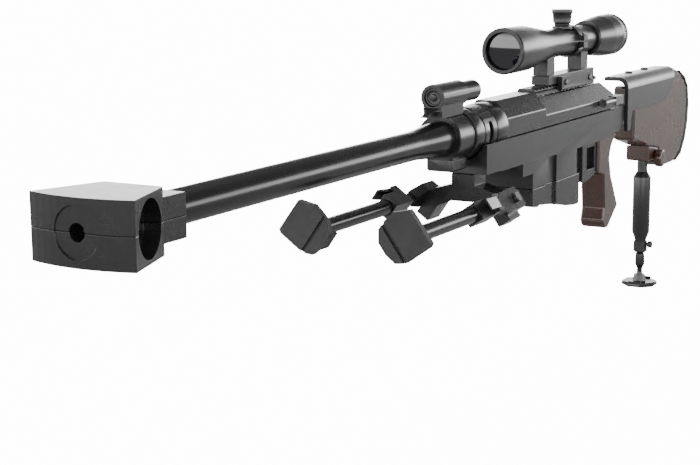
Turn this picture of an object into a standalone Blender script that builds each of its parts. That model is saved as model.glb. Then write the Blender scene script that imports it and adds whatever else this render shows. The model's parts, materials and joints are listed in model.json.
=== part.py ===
"""Solid display replica of a long rifle with a telescope, a folded bipod and a rear monopod.

X runs back along the barrel from muzzle to butt, -Y is the left-hand side and +Z is up.
Shapes are placed from the barrel datum, which is the barrel axis at the front corners of the
muzzle block. The origin of the part is the flat face under the chassis that a display saddle
holds. Nothing in the replica can fire: the barrel, receiver, magazine and trigger are solid
and fixed, and the openings at the muzzle are shallow blind recesses.
"""

import math

import bmesh
import bpy
from mathutils import Euler, Matrix, Vector

GAP = 0.0003

# The barrel datum, seen from the saddle face
SADDLE_BEHIND_MUZZLE = 0.6845
BARREL_ABOVE_SADDLE = 0.0434

# Muzzle block and barrel
BLOCK_HALF_HEIGHT = 0.0257
BLOCK_HALF_FRONT = 0.0475
BLOCK_HALF_REAR = 0.0275
BLOCK_LENGTH = 0.0605
BLOCK_BULGE = 0.008
COLLAR_HALF = 0.0267
COLLAR_END = 0.089
SEAM_HALF = 0.0005
BARREL_RADIUS = 0.0145
BARREL_ROOT_RADIUS = 0.0185
BARREL_END = 0.6785

# Receiver, chassis and stock
RECEIVER_FRONT = 0.680
RECEIVER_REAR = 0.991
RECEIVER_HALF = 0.026
CHASSIS_HALF = 0.030
CHASSIS_TOP = -0.011
SADDLE_Z = -BARREL_ABOVE_SADDLE
SADDLE_FRONT = 0.655
POST_SEAT_Z = SADDLE_Z + 0.001
STOCK_HALF = 0.015
REAR_EDGE = [
    (1.3000, -0.1125),
    (1.3190, -0.1025),
    (1.3335, -0.0835),
    (1.3415, -0.0634),
    (1.3438, -0.0376),
    (1.3403, -0.0125),
    (1.3290, -0.0003),
    (1.3074, 0.0106),
]
PAD_EDGE = [
    (1.3012, -0.1158),
    (1.3240, -0.1082),
    (1.3418, -0.0882),
    (1.3512, -0.0645),
    (1.3540, -0.0378),
    (1.3478, -0.0112),
    (1.3335, 0.0030),
    (1.3088, 0.0136),
]
MONOPOD_X = 1.200
MONOPOD_ANKLE_Z = -0.2650
THUMBSCREW_Z = -0.2205

# Telescope
SCOPE_Z = 0.0788
SCOPE_TUBE = 0.0167
SCOPE_WALL = 0.002
TURRET_X = 0.895
TURRET_TOP = 0.0978
TURRET_SIDE = 0.0190
FOCUS_X = 1.0373

# Bipod, one leg in its own frame: the hinge at the origin, the foot towards -X
HINGE = (0.638, 0.049, -0.071)
SPLAY = math.radians(35)
ARM_OUTER = -0.005
ARM_INNER = -0.021
ARM_BELOW_HINGE = 0.018
LEG_ROD = 0.005
LEG_TUBE = 0.008
CLAMP_FRONT = -0.096
CLAMP_REAR = -0.058
TUBE_END = -0.224
FOOT_PIN = -0.236
LEVER_PIN = (-0.060, 0.0138)

for old in list(bpy.data.objects):
    bpy.data.objects.remove(old)

parts = bpy.data.collections.new("display_rifle_replica")
cutters = bpy.data.collections.new("cutters")
cutters.hide_render = True
for collection in (parts, cutters):
    bpy.context.scene.collection.children.link(collection)


# ---------------------------------------------------------------- helpers


def finish(name, colour, roughness, metallic):
    made = bpy.data.materials.new(name)
    made.use_nodes = True
    made.diffuse_color = (*colour, 1)
    shader = made.node_tree.nodes["Principled BSDF"]
    shader.inputs["Base Color"].default_value = (*colour, 1)
    shader.inputs["Roughness"].default_value = roughness
    shader.inputs["Metallic"].default_value = metallic
    return made


FINISHES = {
    "black": ((0.035, 0.035, 0.037), 0.38, 0.6),
    "steel": ((0.30, 0.30, 0.31), 0.30, 1.0),
    "brown": ((0.075, 0.042, 0.033), 0.35, 0.0),
    "rubber": ((0.02, 0.02, 0.022), 0.75, 0.0),
    "glass": ((0.012, 0.012, 0.016), 0.08, 0.0),
}


def empty(name, at, parent=None, turn=(0, 0, 0)):
    made = bpy.data.objects.new(name, None)
    made.location = at
    made.rotation_euler = turn
    made.parent = parent
    made.empty_display_size = 0.01
    parts.objects.link(made)
    return made


datum = empty("barrel_datum", (-SADDLE_BEHIND_MUZZLE, 0, BARREL_ABOVE_SADDLE))


def add(name, kind, mesh, at=(0, 0, 0), parent=None, turn=(0, 0, 0)):
    """The mesh as an object; one with no kind of finish is a cutter."""
    made = bpy.data.objects.new(name, mesh)
    made.location = at
    made.rotation_euler = turn
    made.parent = parent or datum
    (parts if kind else cutters).objects.link(made)
    if kind:
        mesh.materials.append(finish(name, *FINISHES[kind]))
    else:
        made.hide_render = True
        made.display_type = "WIRE"
    return made


def mesh_of(bm, name):
    mesh = bpy.data.meshes.new(name)
    bm.to_mesh(mesh)
    bm.free()
    return mesh


def soften(made, width):
    if width:
        bevel = made.modifiers.new("edges", "BEVEL")
        bevel.width = width
        bevel.segments = 1
        bevel.limit_method = "ANGLE"
        bevel.angle_limit = math.radians(40)
    return made


def box(name, kind, low, high, edge=0.0, parent=None):
    """A block between two corners."""
    low, high = Vector(low), Vector(high)
    bm = bmesh.new()
    bmesh.ops.create_cube(bm, size=1)
    bmesh.ops.scale(bm, vec=high - low, verts=bm.verts)
    return soften(add(name, kind, mesh_of(bm, name), (low + high) / 2, parent), edge)


ACROSS = {
    "X": Euler((math.pi / 2, 0, math.pi / 2)).to_matrix(),
    "Y": Euler((math.pi / 2, 0, 0)).to_matrix(),
    "Z": Matrix.Identity(3),
}


def plate(name, kind, outline, low, high, axis="Y", edge=0.0, parent=None):
    """A flat outline across the axis, extruded along it from low to high.

    The outline is (y, z) across X, (x, z) across Y and (x, y) across Z.
    """
    curve = bpy.data.curves.new(name, "CURVE")
    curve.dimensions = "2D"
    curve.fill_mode = "BOTH"
    curve.extrude = (high - low) / 2
    spline = curve.splines.new("POLY")
    spline.points.add(len(outline) - 1)
    for point, (u, v) in zip(spline.points, outline):
        point.co = (u, v, 0, 1)
    spline.use_cyclic_u = True
    guide = bpy.data.objects.new(name + "_outline", curve)
    cutters.objects.link(guide)
    graph = bpy.context.evaluated_depsgraph_get()
    mesh = bpy.data.meshes.new_from_object(guide.evaluated_get(graph))
    bpy.data.objects.remove(guide)
    bm = bmesh.new()
    bm.from_mesh(mesh)
    bmesh.ops.remove_doubles(bm, verts=bm.verts, dist=1e-6)
    bmesh.ops.recalc_face_normals(bm, faces=bm.faces)
    bmesh.ops.dissolve_limit(bm, angle_limit=math.radians(1), verts=bm.verts, edges=bm.edges)
    bmesh.ops.rotate(bm, matrix=ACROSS[axis], verts=bm.verts)
    bm.to_mesh(mesh)
    bm.free()
    middle = (low + high) / 2
    at = {"X": (middle, 0, 0), "Y": (0, middle, 0), "Z": (0, 0, middle)}[axis]
    return soften(add(name, kind, mesh, at, parent), edge)


def turned(name, kind, profile, start, along, steps=32, parent=None):
    """A profile of (distance, radius) pairs turned about the line from start along a direction.

    A profile that starts and ends on the axis is solid. Any other one is closed into a ring:
    its outer side first, then its bore on the way back.
    """
    ring = profile[0][1] > 0
    points = [(radius, 0, distance) for distance, radius in reversed(profile)]
    edges = [(i, i + 1) for i in range(len(points) - 1)]
    if ring:
        edges.append((len(points) - 1, 0))
    mesh = bpy.data.meshes.new(name)
    mesh.from_pydata(points, edges, [])
    turn = Vector((0, 0, 1)).rotation_difference(Vector(along)).to_euler()
    made = add(name, kind, mesh, start, parent, turn)
    screw = made.modifiers.new("turn", "SCREW")
    screw.steps = screw.render_steps = steps
    screw.use_merge_vertices = True
    screw.merge_threshold = 1e-5
    return made


def rod(name, kind, start, end, radius, steps=24, parent=None):
    """A plain cylinder between two points."""
    start, end = Vector(start), Vector(end)
    bm = bmesh.new()
    bmesh.ops.create_cone(
        bm,
        cap_ends=True,
        segments=steps,
        radius1=radius,
        radius2=radius,
        depth=(end - start).length,
    )
    turn = Vector((0, 0, 1)).rotation_difference(end - start).to_euler()
    return add(name, kind, mesh_of(bm, name), (start + end) / 2, parent, turn)


def combine(made, operation, others):
    for other in others:
        step = made.modifiers.new(other.name, "BOOLEAN")
        step.operation = operation
        step.object = other
    return made


def cut(made, *others):
    return combine(made, "DIFFERENCE", others)


def join(made, *others):
    return combine(made, "UNION", others)


def arc(centre, radius, first, last, steps):
    """Points of an arc, with its angles in degrees."""
    turns = [math.radians(first + (last - first) * i / steps) for i in range(steps + 1)]
    return [(centre[0] + radius * math.cos(t), centre[1] + radius * math.sin(t)) for t in turns]


def mirrored(half):
    """An outline from the half at positive first coordinate, listed from top to bottom."""
    return half + [(-u, v) for u, v in reversed(half) if u > 0]


# ---------------------------------------------------------------- muzzle and barrel


def muzzle_outline():
    """Plan of the block: a bulging front, then sides that close in, then the narrow collar."""
    rise = BLOCK_BULGE
    radius = (BLOCK_HALF_FRONT**2 + rise**2) / (2 * rise)
    spread = math.degrees(math.asin(BLOCK_HALF_FRONT / radius))
    front = arc((radius - rise, 0), radius, 180 - spread, 180 + spread, 12)
    corner_x, corner_y = BLOCK_LENGTH - 0.0030, BLOCK_HALF_REAR + 0.0010
    rear = [
        (corner_x, -corner_y),
        (BLOCK_LENGTH, -COLLAR_HALF),
        (COLLAR_END, -COLLAR_HALF),
        (COLLAR_END, COLLAR_HALF),
        (BLOCK_LENGTH, COLLAR_HALF),
        (corner_x, corner_y),
    ]
    return front + rear


def muzzle_half(name, side):
    """One half of the block, above (+1) or below (-1) the seam, with its blind recesses."""
    near, far = sorted((side * SEAM_HALF, side * BLOCK_HALF_HEIGHT))
    half = plate(name, "black", muzzle_outline(), near, far, "Z")
    collar_top = 0.0175
    shoulder = sorted((side * collar_top, side * 2 * BLOCK_HALF_HEIGHT))
    step = box(
        name + "_step",
        None,
        (BLOCK_LENGTH, -0.06, shoulder[0]),
        (COLLAR_END + 0.02, 0.06, shoulder[1]),
    )
    disc = rod(name + "_disc", None, (-0.02, 0, 0), (-0.0057, 0, 0), 0.020, 48)
    dimple = rod(name + "_dimple", None, (-0.02, 0, 0), (0.010, 0, 0), 0.007, 32)
    socket = rod(name + "_socket", None, (0.072, 0, 0), (0.12, 0, 0), BARREL_RADIUS + GAP, 32)
    return cut(half, step, disc, dimple, socket, *side_ports(name))


def side_ports(name):
    """Blind oval recesses square to the two angled sides."""
    lean = math.atan2(BLOCK_HALF_FRONT - BLOCK_HALF_REAR, BLOCK_LENGTH)
    oval = [(0.0250 * u, 0.0222 * v) for u, v in arc((0, 0), 1, 0, 352.5, 47)]
    ports = []
    for way in (-1, 1):
        port_name = f"{name}_port_{side_name(way)}"
        middle = (0.0300, way * (BLOCK_HALF_FRONT - 0.0300 * math.tan(lean)), 0)
        seat = empty(port_name + "_seat", middle, datum, (0, 0, -way * lean))
        low, high = sorted((-way * 0.014, way * 0.02))
        ports.append(plate(port_name, None, oval, low, high, "Y", 0, seat))
    return ports


def barrel():
    muzzle_half("muzzle_block_upper", 1)
    muzzle_half("muzzle_block_lower", -1)
    front = 0.0723
    profile = [
        (front, 0),
        (front, BARREL_RADIUS),
        (0.505, BARREL_RADIUS),
        (0.560, BARREL_ROOT_RADIUS),
        (BARREL_END, BARREL_ROOT_RADIUS),
        (BARREL_END, 0),
    ]
    turned("barrel_rod", "black", profile, (0, 0, 0), (1, 0, 0))


def sleeve(name, low, high, radius):
    """A plain ring round the barrel's root, with its edges broken."""
    bore = BARREL_ROOT_RADIUS + GAP
    edge = 0.0008
    profile = [
        (low, bore),
        (low, radius - edge),
        (low + edge, radius),
        (high - edge, radius),
        (high, radius - edge),
        (high, bore),
    ]
    return turned(name, "black", profile, (0, 0, 0), (1, 0, 0))


def front_fittings():
    """The ring on the barrel's root with its low block, the tube above it, and three collars."""
    ring_low, ring_high, ring_radius = 0.567, 0.602, 0.0250
    ring = sleeve("front_ring", ring_low, ring_high, ring_radius)
    block_low, block_high = (ring_low, -0.015, -0.034), (ring_high, 0.015, -0.020)
    block = box("front_ring_block", None, block_low, block_high, 0.002)
    join(ring, block)

    tube_z = 0.0436
    housing = rod("sight_housing", "black", (0.552, 0, tube_z), (0.610, 0, tube_z), 0.0132, 32)
    rear = rod("sight_rear_end", None, (0.600, 0, tube_z), (0.645, 0, tube_z), 0.0108, 32)
    web_outline = [(0.504, 0.0150), (0.552, 0.0330), (0.552, tube_z), (0.602, tube_z), (0.602, 0.0150)]
    web = plate("sight_web", None, web_outline, -0.0105, 0.0105)
    trims = []
    for way in (-1, 1):
        reach = sorted((way * 0.0035, way * 0.03))
        low, high = (0.49, reach[0], 0.0), (0.5525, reach[1], 0.030)
        trims.append(box(f"sight_gusset_trim_{side_name(way)}", None, low, high))
    clear = rod("sight_barrel_clear", None, (0.48, 0, 0), (0.62, 0, 0), ring_radius + GAP, 48)
    socket = rod("sight_socket", None, (0.54, 0, tube_z), (0.566, 0, tube_z), 0.0095, 24)
    join(housing, rear, web)
    cut(housing, *trims, clear, socket)
    insert = [
        (0.0, 0),
        (0.0, 0.0030),
        (0.0015, 0.0035),
        (0.0015, 0.0065),
        (0.0, 0.0070),
        (0.0, 0.0088),
        (0.0125, 0.0088),
        (0.0125, 0),
    ]
    turned("sight_front_insert", "black", insert, (0.5532, 0, tube_z), (1, 0, 0), 24)

    sleeve("collar_front", ring_high + GAP, 0.622, 0.0268)
    slotted = sleeve("collar_slotted", 0.622 + GAP, 0.652, 0.0275)
    slot = plate(
        "collar_slot",
        None,
        arc((0.637, 0.008), 0.0045, 0, 180, 6) + arc((0.637, -0.010), 0.0045, 180, 360, 6),
        -0.040,
        -0.0215,
    )
    cut(slotted, slot)
    sleeve("collar_rear", 0.652 + GAP, RECEIVER_FRONT - GAP, 0.0280)


# ---------------------------------------------------------------- receiver and chassis


def receiver():
    """Two flat-topped sections that meet at a step, with the tail sloping down behind."""
    foot = (RECEIVER_HALF, CHASSIS_TOP + GAP)
    front_section = mirrored([(0.0117, 0.029), (RECEIVER_HALF, 0.0105), foot])
    rear_section = mirrored([(0.0130, 0.0225), (RECEIVER_HALF, 0.0030), foot])
    split = 0.787
    body = plate("receiver", "black", front_section, RECEIVER_FRONT, split + 0.001, "X")
    rear = plate("receiver_rear", None, rear_section, split, 1.018, "X")
    slope = [(0.990, 0.024), (1.020, 0.003), (1.020, 0.024)]
    tail_cut = plate("receiver_tail", None, slope, -0.05, 0.05)
    join(body, rear)
    cut(body, tail_cut)

    peg = rod("side_peg", "steel", (0.953, -0.0322, 0.001), (0.990, -0.0322, 0.001), 0.0052, 20)
    head = box("side_peg_head", None, (0.986, -0.0374, -0.0042), (1.012, -0.0270, 0.0066))
    flat = box("side_peg_flat", None, (0.94, -RECEIVER_HALF - GAP, -0.02), (1.03, 0, 0.02))
    join(peg, head)
    cut(peg, flat)


def chassis():
    """The long body under the receiver, with the magazine well and the narrower tail."""
    well_front, well_rear, well_bottom = 0.742, 0.893, -0.0752
    side = [
        (0.619, CHASSIS_TOP),
        (0.619, POST_SEAT_Z),
        (SADDLE_FRONT, POST_SEAT_Z),
        (SADDLE_FRONT, SADDLE_Z),
        (0.714, SADDLE_Z),
        (0.714, -0.0577),
        (well_front, -0.0577),
        (well_front, well_bottom),
        (well_rear, well_bottom),
        (well_rear, -0.0450),
        (1.002, -0.0450),
        (1.002, CHASSIS_TOP),
    ]
    body = plate("chassis", "black", side, -CHASSIS_HALF, CHASSIS_HALF)
    tail = plate(
        "chassis_tail",
        None,
        [(0.990, -0.0125), (1.0655, -0.0125), (1.0655, -0.030), (1.046, -0.0440), (0.990, -0.0440)],
        -0.020,
        0.020,
    )
    link = box("chassis_link", None, (1.060, -0.0105, -0.040), (1.1177, 0.0105, -0.0160))
    channel = rod("barrel_channel", None, (0.60, 0, 0), (RECEIVER_FRONT, 0, 0), 0.0285, 48)
    join(body, tail, link)
    grooves = side_grooves("well_groove", 0.7868, -0.0445, -0.08)
    cut(body, channel, *well_rear_rounding(well_rear), *grooves)
    magazine(well_front, well_bottom - GAP)


def well_rear_rounding(rear):
    """Cutters that round the well's rear upright corners below the chassis body."""
    radius = 0.022
    cutters_made = []
    for way in (-1, 1):
        centre = (rear - radius, way * (CHASSIS_HALF - radius))
        sweep = arc(centre, radius, 0, way * 90, 6)
        outside = way * (CHASSIS_HALF + 0.002)
        corner = [(rear + 0.002, way * (CHASSIS_HALF - radius)), *sweep[1:]]
        corner += [(rear - radius, outside), (rear + 0.002, outside)]
        name = f"well_corner_{side_name(way)}"
        cutters_made.append(plate(name, None, corner, -0.12, -0.0452, "Z"))
    return cutters_made


def side_grooves(name, front, top, bottom):
    """An upright groove in each side."""
    depth = 0.003
    made = []
    for way in (-1, 1):
        reach = sorted((way * (CHASSIS_HALF - depth), way * (CHASSIS_HALF + 0.01)))
        label = f"{name}_{side_name(way)}"
        made.append(box(label, None, (front, reach[0], bottom), (0.8112, reach[1], top)))
    return made


def magazine(front, top):
    side = [
        (front, top),
        (front, -0.0940),
        (0.745, -0.0965),
        (0.760, -0.0985),
        (0.762, -0.0965),
        (0.842, -0.1070),
        (0.844, -0.1095),
        (0.868, -0.1125),
        (0.884, -0.1125),
        (0.884, top),
    ]
    block = plate("magazine_block", "black", side, -CHASSIS_HALF, CHASSIS_HALF)
    cut(block, *side_grooves("magazine_groove", 0.780, -0.07, -0.12))


def guard():
    """The frame in front of the grip, with its window, and the fixed dummy trigger in it."""
    half = 0.0125
    outline = [
        (0.939, -0.0453),
        (0.939, -0.0960),
        (0.950, -0.0985),
        (0.9862, -0.0905),
        (0.9862, -0.0453),
    ]
    frame = plate("guard_frame", "black", outline, -half, half)
    window = plate(
        "guard_window",
        None,
        [(0.953, -0.0560), (0.953, -0.0830), (0.9795, -0.0830), (0.9795, -0.0560)],
        -0.03,
        0.03,
    )
    cut(frame, window)
    blade = [
        (0.9610, -0.0563),
        (0.9590, -0.0680),
        (0.9600, -0.0805),
        (0.9635, -0.0805),
        (0.9650, -0.0680),
        (0.9680, -0.0563),
    ]
    plate("trigger_dummy", "steel", blade, -0.0035, 0.0035)


def grip():
    toe = arc((1.0170, -0.1560), 0.0105, 150, 270, 6)
    outline = [
        (0.9865, -0.0453),
        (0.9865, -0.0900),
        (1.0060, -0.0960),
        (1.0110, -0.1400),
        *toe,
        (1.0260, -0.1680),
        (1.0610, -0.1425),
        (1.0340, -0.1000),
        (1.0270, -0.0760),
        (1.0330, -0.0620),
        (1.0480, -0.0500),
        (1.0480, -0.0453),
    ]
    plate("grip", "brown", outline, -0.0158, 0.0158, "Y", 0.0030)


# ---------------------------------------------------------------- stock, cheek rest and monopod


def stock():
    outline = [
        (1.118, 0.0060),
        (1.118, -0.0650),
        (1.178, -0.0800),
        (1.222, -0.0880),
        (1.232, -0.1120),
        (1.246, -0.1155),
        (1.290, -0.1158),
        *REAR_EDGE,
        (1.2905, 0.0175),
        (1.2780, 0.0198),
        (1.2665, 0.0198),
        (1.2640, 0.0060),
    ]
    body = plate("stock", "brown", outline, -STOCK_HALF, STOCK_HALF, "Y", 0.0030)
    for name, x in (("front", 1.1336), ("rear", 1.1960)):
        well = rod(f"cheek_post_well_{name}", None, (x, 0, -0.050), (x, 0, 0.05), 0.0045, 16)
        cut(body, well)
        rod(f"cheek_post_{name}", "steel", (x, 0, -0.040), (x, 0, 0.0177), 0.0042, 16, cheek)
        head = [(0, 0), (0, 0.0052), (0.0016, 0.0040), (0.0022, 0)]
        turned(f"cheek_screw_{name}", "black", head, (x, 0, 0.0233), (0, 0, 1), 16, cheek)

    plate("butt_plate", "black", between_edges(0.04, 0.28), -STOCK_HALF, STOCK_HALF)
    plate("butt_pad", "rubber", between_edges(0.32, 1.0), -STOCK_HALF, STOCK_HALF, "Y", 0.0015)


def between_edges(near, far):
    """The outline of a strip behind the stock, from one share of the pad's thickness to another."""

    def line(share):
        pairs = zip(REAR_EDGE, PAD_EDGE)
        return [tuple(Vector(a).lerp(Vector(b), share)) for a, b in pairs]

    return line(near) + line(far)[::-1]


def cheek_rest():
    """A curved saddle over the comb: short on the right, long and tapering on the left."""
    thickness = 0.0055
    outer = [(0.0090, 0.0228), (-0.0060, 0.0232)]
    outer += arc((-0.0095, 0.0085), 0.0150, 90, 180, 6)[1:]
    outer += [(-0.0245, -0.0215)]
    inner = [(-0.0245 + thickness, -0.0215), (-0.0245 + thickness, 0.0085)]
    inner += arc((-0.0095, 0.0085), 0.0150 - thickness, 180, 90, 6)[1:]
    inner += [(0.0090, 0.0180)]
    shell = plate("cheek_rest", "black", outer + inner, 1.066, 1.262, "X", 0, cheek)
    rear_corner = [(1.205, -0.03), (1.240, -0.0100), (1.2550, 0.0100), (1.2650, 0.0300)]
    rear_corner += [(1.30, 0.03), (1.30, -0.03)]
    rear_cut = plate("cheek_rear_cut", None, rear_corner, -0.05, 0.05, "Y", 0, cheek)
    apron = plate(
        "cheek_apron",
        None,
        [(1.066, 0.0), (1.066, -0.0465), (1.079, -0.0465), (1.083, -0.020), (1.083, 0.0)],
        -0.0245,
        -0.0245 + thickness,
        "Y",
        0,
        cheek,
    )
    join(shell, apron)
    cut(shell, rear_cut)


def monopod():
    """The bracket under the butt, the sleeve, and the rod that slides out of it with its foot."""
    x = MONOPOD_X
    low, high = (1.1765, -0.0160, -0.1010), (1.2180, 0.0160, -0.0700)
    bracket = box("monopod_bracket", "brown", low, high, 0.0015)
    stock_belly = [
        (1.10, -0.0605 - GAP),
        (1.178, -0.0800 - GAP),
        (1.222, -0.0880 - GAP),
        (1.24, -0.0960),
        (1.24, 0.0),
        (1.10, 0.0),
    ]
    above = plate("monopod_bracket_top", None, stock_belly, -0.03, 0.03)
    seat = rod("monopod_bracket_seat", None, (x, 0, -0.110), (x, 0, -0.0930), 0.0073, 24)
    cut(bracket, above, seat)
    knob = [(0, 0), (0, 0.0105), (0.0015, 0.0120), (0.0090, 0.0120), (0.0105, 0.0105), (0.0105, 0)]
    knob_at = (x + 0.008, -0.0163, -0.0995)
    turned("monopod_lock_knob", "brown", knob, knob_at, (0, -1, 0), 24, lock_pivot)

    top = -0.0933
    sleeve_profile = [
        (0, 0.0070),
        (0.0250, 0.0070),
        (0.0327, 0.0120),
        (0.1097, 0.0120),
        (0.1207, 0.0080),
        (0.1237, 0.0080),
        (0.1237, 0.0095),
        (0.1370, 0.0095),
        (0.1390, 0.0075),
        (0.1390, 0.0051),
        (0.0550, 0.0051),
        (0.0550, 0),
    ]
    solid = [(0, 0), *sleeve_profile]
    body = turned("monopod_sleeve", "black", solid, (x, 0, top), (0, 0, -1), 24)
    hole_ends = (x, 0, THUMBSCREW_Z), (x, -0.02, THUMBSCREW_Z)
    screw_hole = rod("monopod_screw_hole", None, *hole_ends, 0.0023, 12)
    cut(body, screw_hole)
    screw = [(0, 0), (0, 0.0020), (0.0060, 0.0020), (0.0060, 0.0046), (0.0110, 0.0046), (0.0110, 0)]
    screw_at = (x, -0.0054, THUMBSCREW_Z)
    turned("monopod_thumbscrew", "black", screw, screw_at, (0, -1, 0), 16, thumb_pivot)

    inner = [
        (0, 0),
        (0, 0.0047),
        (0.0840, 0.0047),
        (0.0860, 0.0062),
        (0.1000, 0.0066),
        (0.1040, 0.0050),
        (0.1060, 0.0038),
        (0.1120, 0.0038),
        (0.1160, 0.0048),
        (0.1190, 0.0040),
        (0.1200, 0),
    ]
    turned("monopod_rod", "black", inner, (x, 0, -0.1490), (0, 0, -1), 20, monopod_slide)
    eight_sided = arc((0, 0), 0.0250, 22.5, 337.5, 7)
    foot = plate("monopod_foot", "black", eight_sided, -0.0140, -0.0080, "Z", 0.0015, monopod_ankle)
    socket = turned(
        "monopod_foot_socket",
        None,
        [(0, 0), (0, 0.0095), (0.0100, 0.0075), (0.0100, 0)],
        (0, 0, -0.0090),
        (0, 0, 1),
        20,
        monopod_ankle,
    )
    ball_room = turned(
        "monopod_ball_room",
        None,
        [(0, 0), (0, 0.0040), (0.0040, 0.0053), (0.0140, 0.0053), (0.0140, 0)],
        (0, 0, -0.0050),
        (0, 0, 1),
        20,
        monopod_ankle,
    )
    lips = []
    for way in (-1, 1):
        reach = sorted((way * 0.0195, way * 0.0228))
        low, high = (reach[0], -0.0090, -0.0125), (reach[1], 0.0090, -0.0060)
        end = "front" if way < 0 else "rear"
        lips.append(box(f"monopod_foot_lip_{end}", None, low, high, 0, monopod_ankle))
    join(foot, socket, *lips)
    cut(foot, ball_room)


# ---------------------------------------------------------------- rail, mount and telescope


def rail_and_mount():
    half_top, half_foot, bottom = 0.0106, 0.0078, 0.0228
    flange = [(0.0085, 0.0320), (half_top, 0.0300), (half_top, 0.0282), (half_foot, 0.0262)]
    section = mirrored([*flange, (half_foot, bottom), (0.0, bottom)])
    low, high = 0.7885, 0.985
    rail = plate("accessory_rail", "black", section, low, high, "X")
    pitch = 0.0100
    for i in range(19):
        x = low + 0.006 + pitch * i
        cut(rail, box(f"rail_slot_{i}", None, (x, -0.02, 0.0294), (x + 0.005, 0.02, 0.04)))

    box("mount_base", "black", (0.830, -0.0108, 0.0323), (0.975, 0.0108, 0.0430))
    hook = [
        (-0.0168, 0.0405),
        (-0.0111, 0.0405),
        (-0.0111, 0.0278),
        (-0.0090, 0.0262),
        (-0.0125, 0.0240),
        (-0.0168, 0.0255),
    ]
    clamp = plate("mount_side_clamp", "black", hook, 0.857, 0.957, "X")
    for name, x in (("front", 0.869), ("rear", 0.945)):
        head = f"mount_screw_{name}"
        well = rod(head + "_well", None, (x, -0.0195, 0.0335), (x, -0.0142, 0.0335), 0.0037, 16)
        cut(clamp, well)
        rod(head, "steel", (x, -0.0188, 0.0335), (x, -0.0145, 0.0335), 0.0034, 16)

    room = SCOPE_TUBE + GAP
    tube_room = rod("post_tube_room", None, (0.80, 0, SCOPE_Z), (1.0, 0, SCOPE_Z), room, 48)
    bell_room = turned(
        "post_bell_room",
        None,
        [(0, 0), (0, 0.0257), (0.067, room), (0.067, 0)],
        (0.775, 0, SCOPE_Z),
        (1, 0, 0),
        48,
    )
    front = box("mount_post_front", "black", (0.830, -0.0090, 0.0433), (0.852, 0.0090, SCOPE_Z))
    cut(front, tube_room, bell_room)
    rear = box("mount_post_rear", "black", (0.936, -0.0090, 0.0433), (0.958, 0.0090, SCOPE_Z))
    rear_tube_room = rod("post_rear_room", None, (0.90, 0, SCOPE_Z), (1.0, 0, SCOPE_Z), room, 48)
    cut(rear, rear_tube_room)

    ring_low, ring_high, ring_outer = 0.9075, 0.9195, 0.0195
    ring_profile = [(ring_low, room), (ring_low, ring_outer), (ring_high, ring_outer), (ring_high, room)]
    ring = turned("scope_ring", "black", ring_profile, (0, 0, SCOPE_Z), (1, 0, 0), 32)
    ear = box("scope_ring_ear", None, (ring_low, -0.0235, 0.0715), (ring_high, -0.0180, 0.0860))
    ear_bore = rod("scope_ear_bore", None, (0.90, 0, SCOPE_Z), (0.95, 0, SCOPE_Z), room, 32)
    split = box("scope_ring_split", None, (0.90, -0.03, 0.0785), (0.95, -0.0160, 0.0797))
    screw_x = (ring_low + ring_high) / 2
    top, bottom = (screw_x, -0.0213, 0.0900), (screw_x, -0.0213, 0.0808)
    screw_well = rod("scope_ring_screw_well", None, top, bottom, 0.0020, 12)
    join(ring, ear)
    cut(ring, ear_bore, split, screw_well)
    head = [(0, 0), (0, 0.0016), (0.0048, 0.0016), (0.0048, 0.0030), (0.0078, 0.0030), (0.0078, 0)]
    turned("scope_ring_screw", "steel", head, (screw_x, -0.0213, 0.0815), (0, 0, 1), 12)


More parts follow.
